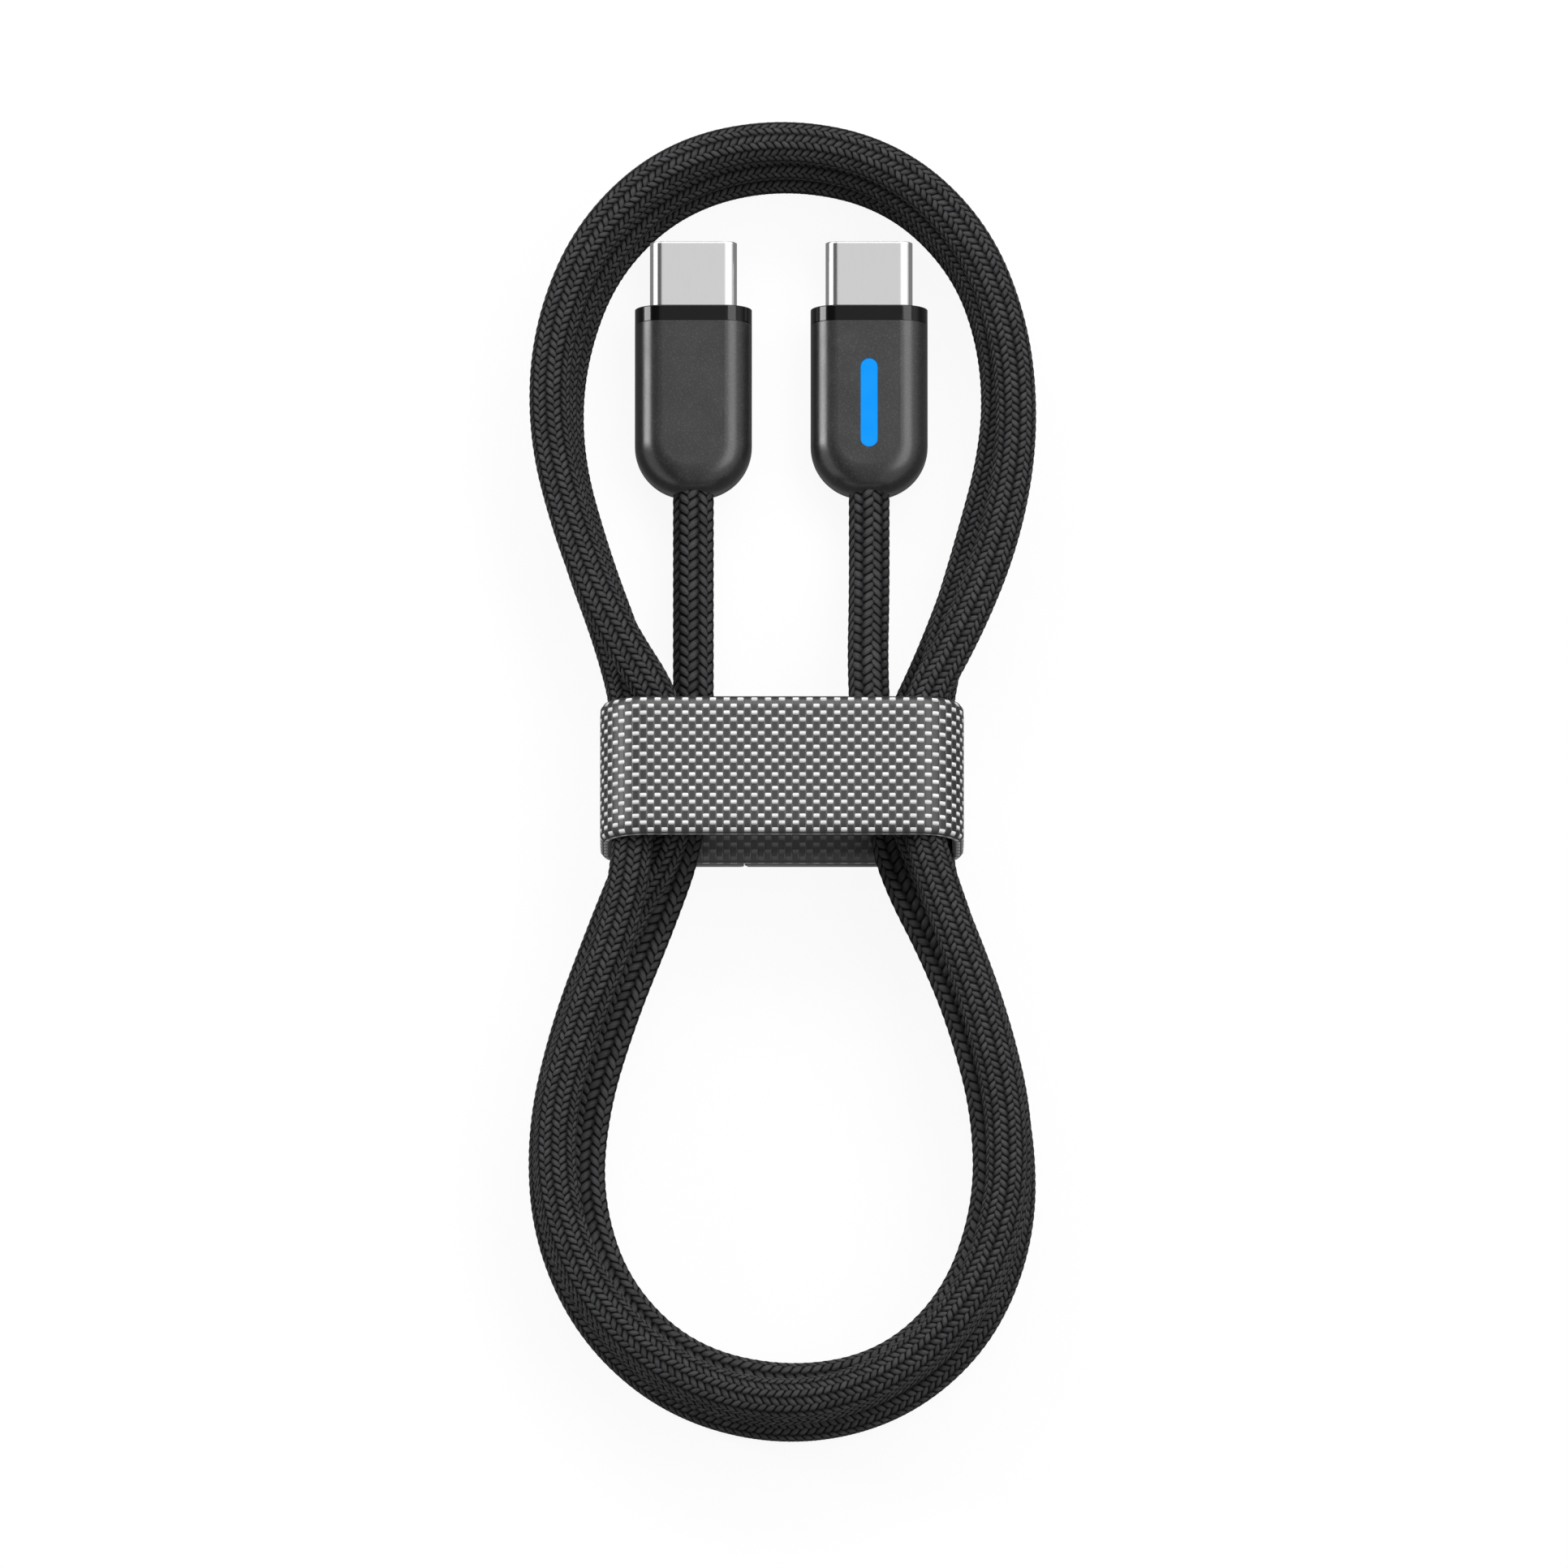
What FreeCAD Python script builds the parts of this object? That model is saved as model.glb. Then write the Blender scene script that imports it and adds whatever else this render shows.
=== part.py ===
import FreeCAD, Part
import Sketcher
import math
import os

# Charging cable with a plug at each end, wound into an hourglass hank and held by a strap.
# Millimetres. Origin: centre of the strap's underside. +X right, +Y towards the plugs, +Z up.

doc = FreeCAD.newDocument("ChargingCable")
sheet = doc.addObject("Spreadsheet::Sheet", "Sizes")

SIZES = [
    # How far a cutting tool reaches past what it cuts
    ("overcut", 1.00),
    # Plug: standard connector shell, its insulator and its contacts
    ("shell_width", 8.25),
    ("shell_height", 2.40),
    ("shell_wall", 0.25),
    ("shell_reach", 6.65),
    ("shell_buried", 5.40),
    ("fit_gap", 0.05),
    ("carrier_recess", 0.20),
    ("carrier_length", 9.85),
    ("mating_slot_width", 6.70),
    ("mating_slot_height", 0.90),
    ("mating_slot_depth", 5.80),
    ("contact_count", 12),
    ("contact_pitch", 0.50),
    ("contact_width", 0.25),
    ("contact_thickness", 0.20),
    ("contact_recess", 2.45),
    ("contact_tail", 0.90),
    ("contact_lift", 0.02),
    ("latch_arm_width", 0.30),
    ("latch_thickness", 0.20),
    ("latch_bar_width", 1.00),
    ("latch_arm_recess", 0.70),
    ("ground_spring_width", 5.60),
    ("ground_spring_length", 1.60),
    ("ground_spring_thickness", 0.10),
    ("ground_spring_recess", 0.50),
    # Plug: circuit board, its parts, the cores and the crimp
    ("board_width", 7.40),
    ("board_length", 7.70),
    ("board_thickness", 0.80),
    ("chip_side", 2.20),
    ("chip_height", 0.45),
    ("capacitor_length", 1.00),
    ("capacitor_width", 0.50),
    ("capacitor_height", 0.40),
    ("capacitor_offset", 2.60),
    ("capacitor_pitch", 1.60),
    ("capacitor_gap", 0.50),
    ("capacitor_rows", 3),
    ("core_diameter", 0.60),
    ("core_pitch", 0.70),
    ("core_lap", 1.30),
    ("cores_per_face", 4),
    ("crimp_outer", 3.90),
    ("crimp_inner", 3.20),
    ("crimp_length", 1.50),
    # Plug: housing, bezel and inner mould
    ("housing_width", 11.10),
    ("housing_thickness", 6.50),
    ("housing_length", 16.50),
    ("housing_corner", 5.00),
    ("housing_edge", 2.60),
    ("housing_side_wall", 0.90),
    ("housing_face_wall", 0.80),
    ("housing_rear_wall", 2.60),
    ("bezel_length", 1.50),
    ("spigot_length", 0.60),
    ("mould_edge", 1.70),
    ("mould_pocket_height", 2.30),
    ("cord_bore_play", 0.05),
    # Indicator in the right plug
    ("light_bar_rear_inset", 4.27),
    ("light_bar_front_inset", 3.73),
    ("light_bar_width", 1.55),
    ("light_bar_depth", 2.00),
    ("led_length", 1.00),
    ("led_width", 0.50),
    ("led_height", 0.60),
    ("led_pitch", 1.90),
    ("led_count", 2),
    # Places of the plugs: the rear ends of their housings, lying on the table
    ("left_plug_x", -8.40),
    ("right_plug_x", 8.26),
    ("plug_rear_y", 28.50),
    # Cord
    ("cord_diameter", 3.75),
    ("cord_entry", 2.50),
    # Strap: a band in one layer, doubled underneath by its tail and its free pull tab
    ("strap_length", 34.40),
    ("strap_width", 13.30),
    ("strap_thickness", 1.10),
    ("strap_room", 11.70),
    ("strap_corner", 3.60),
    ("strap_top_corner", 4.50),
    ("tail_thickness", 0.80),
    ("tail_end_inset", 4.80),
    ("tail_end_gap", 0.45),
    ("tail_end_slant", 0.35),
    ("patch_thickness", 0.15),
    ("patch_margin", 0.65),
    ("tab_hinge_inset", 13.20),
    ("tab_length", 8.60),
    ("tab_corner", 3.00),
]

for row, (alias, value) in enumerate(SIZES, start=1):
    sheet.set("A%d" % row, alias)
    sheet.set("B%d" % row, str(value))
    sheet.setAlias("B%d" % row, alias)
doc.recompute()

ALIASES = [alias for alias, value in SIZES]
NODES = []


def cells(expression):
    """Write the sheet's name before each alias of an expression."""
    words = []
    word = ""
    for letter in expression + " ":
        if letter.isalpha() or letter == "_":
            word = word + letter
            continue
        words.append("Sizes." + word if word in ALIASES else word)
        words.append(letter)
        word = ""
    return "".join(words).strip()


def bind(thing, prop, expression):
    thing.setExpression(prop, cells(expression))


def seat(thing, x="0", y="0", z="0"):
    bind(thing, "Placement.Base.x", x)
    bind(thing, "Placement.Base.y", y)
    bind(thing, "Placement.Base.z", z)
    return thing


def value_of(expression):
    """The number that an expression of aliases has in the sheet."""
    sheet.set("D1", "=" + expression)
    sheet.recompute()
    return float(sheet.get("D1"))


def node(thing, label):
    thing.Label = label
    NODES.append(thing)
    return thing


# Plain shapes

def box(name, width, length, height, x, y, z):
    """A box centred across on x, from y forward and from z up."""
    made = doc.addObject("Part::Box", name)
    bind(made, "Length", width)
    bind(made, "Width", length)
    bind(made, "Height", height)
    return seat(made, "(%s) - (%s) / 2" % (x, width), y, z)


def rod(name, diameter, length, x, y, z):
    """A round rod along Y, from y forward."""
    made = doc.addObject("Part::Cylinder", name)
    bind(made, "Radius", "(%s) / 2" % diameter)
    bind(made, "Height", length)
    made.Placement.Rotation = FreeCAD.Rotation(FreeCAD.Vector(1, 0, 0), -90)
    return seat(made, x, y, z)


def post(name, diameter, height, x, y, z):
    """A round post along Z, from z up."""
    made = doc.addObject("Part::Cylinder", name)
    bind(made, "Radius", "(%s) / 2" % diameter)
    bind(made, "Height", height)
    return seat(made, x, y, z)


def fuse(name, parts):
    made = doc.addObject("Part::MultiFuse", name)
    made.Shapes = parts
    made.Refine = True
    return made


def cut(name, base, tools):
    tool = tools[0] if len(tools) == 1 else fuse(name + "_tools", tools)
    made = doc.addObject("Part::Cut", name)
    made.Base = base
    made.Tool = tool
    return made


def group(name, parts):
    made = doc.addObject("Part::Compound", name)
    made.Links = parts
    return made


def rounded_prism(name, width, height, radius, length, y):
    """A prism along Y whose section is a rounded rectangle centred on the plug's axis."""
    parts = [
        box(name + "_wide", width, length, "(%s) - 2 * (%s)" % (height, radius),
            "0", y, "(%s) - (%s) / 2" % (radius, height)),
        box(name + "_tall", "(%s) - 2 * (%s)" % (width, radius), length, height,
            "0", y, "-(%s) / 2" % height),
    ]
    for side, sign in (("left", "-"), ("right", "")):
        for level, lift in (("low", "-"), ("high", "")):
            x = "%s((%s) / 2 - (%s))" % (sign, width, radius)
            z = "%s((%s) / 2 - (%s))" % (lift, height, radius)
            parts.append(rod("%s_%s_%s" % (name, side, level), "2 * (%s)" % radius, length, x, y, z))
    return fuse(name, parts)


def slot_prism(name, width, height, length, y):
    """A prism along Y whose section is a flat slot with half-round sides."""
    reach = "((%s) - (%s)) / 2" % (width, height)
    return fuse(name, [
        box(name + "_middle", "(%s) - (%s)" % (width, height), length, height, "0", y, "-(%s) / 2" % height),
        rod(name + "_left", height, length, "-" + reach, y, "0"),
        rod(name + "_right", height, length, reach, y, "0"),
    ])


# Sketches

def sketch_on(body, name, role):
    sketch = body.newObject("Sketcher::SketchObject", name)
    plane = [feature for feature in body.Origin.OriginFeatures if feature.Role == role][0]
    sketch.AttachmentSupport = [(plane, "")]
    sketch.MapMode = "FlatFace"
    return sketch


def named(sketch, constraint, name, expression):
    index = sketch.addConstraint(Sketcher.Constraint(*constraint))
    sketch.renameConstraint(index, name)
    bind(sketch, "Constraints." + name, expression)


def line(sketch, start, end):
    return sketch.addGeometry(Part.LineSegment(FreeCAD.Vector(*start, 0), FreeCAD.Vector(*end, 0)))


def corner_arc(sketch, x, y, radius, start):
    circle = Part.Circle(FreeCAD.Vector(x, y, 0), FreeCAD.Vector(0, 0, 1), radius)
    return sketch.addGeometry(Part.ArcOfCircle(circle, math.radians(start), math.radians(start + 90)))


def rounded_outline(sketch, tag, width, height, radius, bottom, top_radius=None):
    """A rounded rectangle, centred across, its bottom at a stated height above the sketch's origin."""
    top_radius = top_radius or radius
    w, h, r, b, t = [value_of(item) for item in (width, height, radius, bottom, top_radius)]
    half = w / 2
    first = line(sketch, (-half + r, b), (half - r, b))
    corner_arc(sketch, half - r, b + r, r, -90)
    line(sketch, (half, b + r), (half, b + h - t))
    corner_arc(sketch, half - t, b + h - t, t, 0)
    line(sketch, (half - t, b + h), (-half + t, b + h))
    corner_arc(sketch, -half + t, b + h - t, t, 90)
    line(sketch, (-half, b + h - t), (-half, b + r))
    corner_arc(sketch, -half + r, b + r, r, 180)
    for corner in range(4):
        side = first + 2 * corner
        sketch.addConstraint(Sketcher.Constraint("Tangent", side, 2, side + 1, 1))
        sketch.addConstraint(Sketcher.Constraint("Tangent", side + 1, 2, first + (2 * corner + 2) % 8, 1))
    sketch.addConstraint(Sketcher.Constraint("Equal", first + 1, first + 7))
    sketch.addConstraint(Sketcher.Constraint("Equal", first + 3, first + 5))
    sketch.addConstraint(Sketcher.Constraint("Vertical", first + 2))
    sketch.addConstraint(Sketcher.Constraint("Symmetric", first, 1, first, 2, -2))
    named(sketch, ("Radius", first + 1, r), tag + "_radius", radius)
    named(sketch, ("Radius", first + 3, t), tag + "_top_radius", top_radius)
    named(sketch, ("DistanceX", first + 6, 1, first + 2, 2, w), tag + "_width", width)
    named(sketch, ("DistanceY", first, 1, first + 4, 2, h), tag + "_height", height)
    named(sketch, ("DistanceY", -1, 1, first, 1, b), tag + "_bottom", bottom)


def pad_both_ways(body, sketch, length):
    pad = body.newObject("PartDesign::Pad", sketch.Name + "_pad")
    pad.Profile = sketch
    bind(pad, "Length", length)
    pad.Midplane = True
    return pad


# One plug, modelled about its own axis: y = 0 at the rear end of the housing, y forward to the shell

FRONT = "housing_length + bezel_length"
TIP = "housing_length + bezel_length + shell_reach"
CARRIER_FRONT = TIP + " - carrier_recess"
CARRIER_REAR = CARRIER_FRONT + " - carrier_length"
BOARD_FRONT = CARRIER_REAR + " - 2 * fit_gap"
BOARD_REAR = BOARD_FRONT + " - board_length"
SHELL_ROOM_WIDTH = "shell_width - 2 * shell_wall - 2 * fit_gap"
SHELL_ROOM_HEIGHT = "shell_height - 2 * shell_wall - 2 * fit_gap"
BAR_LENGTH = "(housing_length - light_bar_rear_inset - light_bar_front_inset)"
BAR_MIDDLE = "(housing_length + light_bar_rear_inset - light_bar_front_inset) / 2"
SHELL_REAR = FRONT + " - shell_buried"
CORES_END = BOARD_REAR + " + core_lap"
CONTACT_REAR = CARRIER_REAR + " - contact_tail"
CONTACT_LENGTH = TIP + " - contact_recess - (" + CONTACT_REAR + ")"


def housing_body(name):
    """The moulded grip's outside: straight sides, round rear corners, every long edge well rounded."""
    body = doc.addObject("PartDesign::Body", name + "_outside")
    sketch = sketch_on(body, name + "_plan", "XY_Plane")
    half = value_of("housing_width / 2")
    length = value_of("housing_length")
    r = value_of("housing_corner")
    rear = line(sketch, (-half + r, 0), (half - r, 0))
    corner_arc(sketch, half - r, r, r, -90)
    line(sketch, (half, r), (half, length))
    line(sketch, (half, length), (-half, length))
    line(sketch, (-half, length), (-half, r))
    corner_arc(sketch, -half + r, r, r, 180)
    sketch.addConstraint(Sketcher.Constraint("Tangent", rear, 2, rear + 1, 1))
    sketch.addConstraint(Sketcher.Constraint("Tangent", rear + 1, 2, rear + 2, 1))
    sketch.addConstraint(Sketcher.Constraint("Coincident", rear + 2, 2, rear + 3, 1))
    sketch.addConstraint(Sketcher.Constraint("Coincident", rear + 3, 2, rear + 4, 1))
    sketch.addConstraint(Sketcher.Constraint("Tangent", rear + 4, 2, rear + 5, 1))
    sketch.addConstraint(Sketcher.Constraint("Tangent", rear + 5, 2, rear, 1))
    sketch.addConstraint(Sketcher.Constraint("Equal", rear + 1, rear + 5))
    sketch.addConstraint(Sketcher.Constraint("Horizontal", rear))
    sketch.addConstraint(Sketcher.Constraint("Vertical", rear + 2))
    sketch.addConstraint(Sketcher.Constraint("Vertical", rear + 4))
    sketch.addConstraint(Sketcher.Constraint("Symmetric", rear + 3, 1, rear + 3, 2, -2))
    sketch.addConstraint(Sketcher.Constraint("PointOnObject", rear, 1, -1))
    named(sketch, ("Radius", rear + 1, r), "corner", "housing_corner")
    named(sketch, ("DistanceX", rear + 3, 2, rear + 3, 1, 2 * half), "across", "housing_width")
    named(sketch, ("DistanceY", -1, 1, rear + 3, 1, length), "along", "housing_length")
    pad = pad_both_ways(body, sketch, "housing_thickness")
    doc.recompute()
    edges = []
    for number, edge in enumerate(pad.Shape.Edges, start=1):
        low, high = edge.BoundBox.ZMin, edge.BoundBox.ZMax
        if high - low < 0.001 and edge.BoundBox.YMin < length - 0.001:
            edges.append("Edge%d" % number)
    fillet = body.newObject("PartDesign::Fillet", name + "_rounding")
    fillet.Base = (pad, edges)
    bind(fillet, "Radius", "housing_edge")
    body.Tip = fillet
    return body


def window_prism(name, width, length, height, z):
    """The indicator's upright prism, round at both ends."""
    return fuse(name, [
        box(name + "_middle", width, "(%s) - (%s)" % (length, width), height,
            "0", "%s - ((%s) - (%s)) / 2" % (BAR_MIDDLE, length, width), z),
        post(name + "_rear", width, height, "0", "%s - ((%s) - (%s)) / 2" % (BAR_MIDDLE, length, width), z),
        post(name + "_front", width, height, "0", "%s + ((%s) - (%s)) / 2" % (BAR_MIDDLE, length, width), z),
    ])


def contact_row(name, z):
    """Twelve equal contacts side by side."""
    count = int(value_of("contact_count"))
    parts = []
    for index in range(count):
        x = "(%d - (contact_count - 1) / 2) * contact_pitch" % index
        parts.append(box("%s_%d" % (name, index), "contact_width", CONTACT_LENGTH, "contact_thickness",
                         x, CONTACT_REAR, z))
    return group(name, parts)


def plug(side, place_x, lit):
    tag = side + "_plug_"

    def settle(thing, part_name):
        seat(thing, place_x, "plug_rear_y", "housing_thickness / 2")
        node(thing, tag + part_name)

    # Shell: a drawn steel tube, open at both ends
    shell_length = "shell_buried + shell_reach"
    settle(cut(tag + "shell_tube",
               slot_prism(tag + "shell_out", "shell_width", "shell_height", shell_length, SHELL_REAR),
               [slot_prism(tag + "shell_in", "shell_width - 2 * shell_wall", "shell_height - 2 * shell_wall",
                           shell_length + " + 2 * overcut", SHELL_REAR + " - overcut")]), "shell")

    # Contacts, latch and ground springs, and the insulator that is cut to hold them
    lift = "board_thickness / 2 + contact_lift"
    top = contact_row(tag + "top_row", lift)
    bottom = contact_row(tag + "bottom_row", "-(" + lift + ") - contact_thickness")
    slot_rear = CARRIER_FRONT + " - mating_slot_depth"
    arm_front = CARRIER_FRONT + " - latch_arm_recess"
    arm_x = "mating_slot_width / 2"
    arm_length = arm_front + " - (" + slot_rear + ") + 2 * latch_bar_width"
    latch = fuse(tag + "latch", [
        box(tag + "latch_left", "latch_arm_width", arm_length, "latch_thickness",
            "-" + arm_x, slot_rear + " - 2 * latch_bar_width", "-latch_thickness / 2"),
        box(tag + "latch_right", "latch_arm_width", arm_length, "latch_thickness",
            arm_x, slot_rear + " - 2 * latch_bar_width", "-latch_thickness / 2"),
        box(tag + "latch_bar", "mating_slot_width + latch_arm_width", "latch_bar_width", "latch_thickness",
            "0", slot_rear + " - 2 * latch_bar_width", "-latch_thickness / 2"),
    ])
    spring_y = CARRIER_FRONT + " - ground_spring_recess - ground_spring_length"
    springs = group(tag + "springs", [
        box(tag + "spring_top", "ground_spring_width", "ground_spring_length", "ground_spring_thickness",
            "0", spring_y, "mating_slot_height / 2"),
        box(tag + "spring_bottom", "ground_spring_width", "ground_spring_length", "ground_spring_thickness",
            "0", spring_y, "-mating_slot_height / 2 - ground_spring_thickness"),
    ])
    carrier_block = slot_prism(tag + "carrier_out", SHELL_ROOM_WIDTH, SHELL_ROOM_HEIGHT,
                               "carrier_length", CARRIER_REAR)
    mating_slot = box(tag + "mating_slot", "mating_slot_width", "mating_slot_depth + overcut",
                      "mating_slot_height", "0", slot_rear, "-mating_slot_height / 2")
    settle(cut(tag + "carrier", carrier_block, [mating_slot, top, bottom, latch, springs]),
           "contact_carrier")
    settle(group(tag + "top_contacts", [top]), "contacts_top")
    settle(group(tag + "bottom_contacts", [bottom]), "contacts_bottom")
    settle(group(tag + "latch_part", [latch]), "latch_spring")
    settle(group(tag + "spring_part", [springs]), "ground_springs")

    # Board between the two rows of contact tails, with a chip below and small parts above
    settle(group(tag + "board_part", [
        box(tag + "board", "board_width", "board_length", "board_thickness",
            "0", BOARD_REAR, "-board_thickness / 2"),
    ]), "circuit_board")
    fitted = [box(tag + "chip", "chip_side", "chip_side", "chip_height", "0",
                  BOARD_REAR + " + board_length / 2 - chip_side / 2", "-board_thickness / 2 - chip_height")]
    for row in range(int(value_of("capacitor_rows"))):
        row_y = CORES_END + " + capacitor_gap + %d * capacitor_pitch" % row
        for name, sign in (("left", "-"), ("right", "")):
            fitted.append(box("%scapacitor_%s_%d" % (tag, name, row), "capacitor_width", "capacitor_length",
                              "capacitor_height", sign + "capacitor_offset", row_y, "board_thickness / 2"))
    settle(group(tag + "fitted_parts", fitted), "board_parts")

    # Cores from the cord's end through the crimp to the board's two faces
    cores = []
    core_z = "board_thickness / 2 + core_diameter / 2 + contact_lift"
    for index in range(int(value_of("cores_per_face"))):
        x = "(%d - (cores_per_face - 1) / 2) * core_pitch" % index
        length = CORES_END + " - cord_entry - fit_gap"
        cores.append(rod("%score_top_%d" % (tag, index), "core_diameter", length, x,
                         "cord_entry + fit_gap", core_z))
        cores.append(rod("%score_bottom_%d" % (tag, index), "core_diameter", length, x,
                         "cord_entry + fit_gap", "-(" + core_z + ")"))
    settle(group(tag + "cores", cores), "wires")
    crimp_y = "cord_entry + 3 * fit_gap"
    settle(cut(tag + "crimp", rod(tag + "crimp_out", "crimp_outer", "crimp_length", "0", crimp_y, "0"),
               [rod(tag + "crimp_in", "crimp_inner", "crimp_length + 2 * overcut",
                    "0", crimp_y + " - overcut", "0")]),
           "crimp_ferrule")

    # Outer parts: inner mould, housing and bezel
    room_width = "housing_width - 2 * housing_side_wall"
    room_height = "housing_thickness - 2 * housing_face_wall"
    mould_front = "housing_length - spigot_length - fit_gap"
    mould_rear = "housing_rear_wall + fit_gap"
    pocket_rear = crimp_y + " + crimp_length"
    mould_tools = [
        rod(tag + "crimp_room", "crimp_outer + 2 * fit_gap", "crimp_length + 2 * overcut", "0",
            crimp_y + " - overcut", "0"),
        box(tag + "board_room", "board_width + 4 * fit_gap",
            SHELL_REAR + " - (" + pocket_rear + ") + overcut", "mould_pocket_height",
            "0", pocket_rear, "-mould_pocket_height / 2"),
        slot_prism(tag + "shell_room", "shell_width + 2 * fit_gap", "shell_height + 2 * fit_gap",
                   "shell_buried + 2 * overcut", SHELL_REAR + " - fit_gap"),
    ]
    housing_tools = [
        rounded_prism(tag + "room", room_width, room_height, "mould_edge + fit_gap",
                      "housing_length - housing_rear_wall + overcut", "housing_rear_wall"),
        rod(tag + "cord_bore", "cord_diameter + 2 * cord_bore_play", "housing_rear_wall + 2 * overcut", "0",
            "-overcut", "0"),
    ]
    if lit:
        bar_z = "housing_thickness / 2 - light_bar_depth"
        mould_tools.append(window_prism(tag + "bar_room", "light_bar_width + 2 * fit_gap",
                                        BAR_LENGTH + " + 2 * fit_gap", "housing_thickness", bar_z))
        housing_tools.append(window_prism(tag + "window", "light_bar_width + 2 * fit_gap",
                                          BAR_LENGTH + " + 2 * fit_gap", "housing_thickness", bar_z))
        bar = window_prism(tag + "bar", "light_bar_width", BAR_LENGTH, "light_bar_depth", bar_z)
        settle(group(tag + "bar_part", [bar]), "light_bar")
        leds = []
        led_middle = "(%s + %s) / 2" % (CORES_END, SHELL_REAR)
        for index in range(int(value_of("led_count"))):
            led_y = "%s + (%d - (led_count - 1) / 2) * led_pitch - led_length / 2" % (led_middle, index)
            leds.append(box("%sled_%d" % (tag, index), "led_width", "led_length", "led_height",
                            "0", led_y, "board_thickness / 2"))
        settle(group(tag + "led_part", leds), "indicator_leds")
    settle(cut(tag + "mould",
               rounded_prism(tag + "mould_out", room_width + " - 2 * fit_gap", room_height + " - 2 * fit_gap",
                             "mould_edge", mould_front + " - (" + mould_rear + ")", mould_rear),
               mould_tools), "inner_mould")
    settle(cut(tag + "housing_part", housing_body(tag + "housing"), housing_tools), "housing")
    bezel = fuse(tag + "bezel_out", [
        rounded_prism(tag + "bezel_plate", "housing_width", "housing_thickness", "housing_edge",
                      "bezel_length", "housing_length"),
        rounded_prism(tag + "spigot", room_width + " - 2 * fit_gap", room_height + " - 2 * fit_gap",
                      "mould_edge", "spigot_length + bezel_length / 2", "housing_length - spigot_length"),
    ])
    bezel_slot = slot_prism(tag + "bezel_slot", "shell_width + 2 * fit_gap", "shell_height + 2 * fit_gap",
                            "spigot_length + bezel_length + 2 * overcut",
                            "housing_length - spigot_length - overcut")
    settle(cut(tag + "bezel", bezel, [bezel_slot]), "front_bezel")


plug("left", "left_plug_x", False)
plug("right", "right_plug_x", True)


# Strap: a closed band, its tail fastened underneath, and the free pull tab at the tail's end

STRAP_LIFT = "(tail_thickness + 2 * patch_thickness)"
TAIL_RIGHT = "(strap_length / 2 - tail_end_inset)"
TAB_HINGE = "(tab_hinge_inset - strap_length / 2)"

band = doc.addObject("PartDesign::Body", "band")
band_section = sketch_on(band, "band_section", "XZ_Plane")
rounded_outline(band_section, "outside", "strap_length", "strap_room + 2 * strap_thickness", "strap_corner",
                STRAP_LIFT, "strap_top_corner")
rounded_outline(band_section, "inside", "strap_length - 2 * strap_thickness", "strap_room",
                "strap_corner - strap_thickness", STRAP_LIFT + " + strap_thickness",
                "strap_top_corner - strap_thickness")
band.Tip = pad_both_ways(band, band_section, "strap_width")
node(band, "strap_band")

patch_width = "strap_width - 2 * patch_margin"
loop_z = STRAP_LIFT + " - patch_thickness"
loop_patch = box("loop_patch", "2 * " + TAIL_RIGHT, patch_width, "patch_thickness",
                 "0", "-(" + patch_width + ") / 2", loop_z)
node(loop_patch, "strap_loop_patch")

tail_start = TAB_HINGE + " + tail_end_gap"
hook_length = TAIL_RIGHT + " - (" + tail_start + ") - 2 * tail_end_slant"
hook_patch = box("hook_patch", hook_length, patch_width, "patch_thickness",
                 TAIL_RIGHT + " - (" + hook_length + ") / 2", "-(" + patch_width + ") / 2",
                 loop_z + " - patch_thickness")
node(hook_patch, "strap_hook_patch")

tail = doc.addObject("Part::Wedge", "tail")
bind(tail, "Xmin", tail_start + " + tail_end_slant")
bind(tail, "X2min", tail_start)
bind(tail, "Xmax", TAIL_RIGHT)
bind(tail, "X2max", TAIL_RIGHT)
bind(tail, "Ymin", "0")
bind(tail, "Ymax", "tail_thickness")
for lower, upper in (("Zmin", "Zmax"), ("Z2min", "Z2max")):
    bind(tail, lower, "-strap_width / 2")
    bind(tail, upper, "strap_width / 2")
tail.Placement.Rotation = FreeCAD.Rotation(FreeCAD.Vector(1, 0, 0), 90)
node(tail, "strap_tail")

corner_x = TAB_HINGE + " - tab_length + tab_corner"
corner_y = "(strap_width / 2 - tab_corner)"
tab = fuse("tab", [
    rod("tab_root", "tail_thickness", "strap_width", TAB_HINGE, "-strap_width / 2", "tail_thickness / 2"),
    box("tab_main", "tab_length - tab_corner", "strap_width", "tail_thickness",
        TAB_HINGE + " - (tab_length - tab_corner) / 2", "-strap_width / 2", "0"),
    box("tab_end", "tab_length", "strap_width - 2 * tab_corner", "tail_thickness",
        TAB_HINGE + " - tab_length / 2", "-" + corner_y, "0"),
    post("tab_corner_near", "2 * tab_corner", "tail_thickness", corner_x, "-" + corner_y, "0"),
    post("tab_corner_far", "2 * tab_corner", "tail_thickness", corner_x, corner_y, "0"),
])
node(tab, "strap_tab")


# Cord: nine lengths that meet face to face, seven passes of them between the strap and the strap

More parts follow.
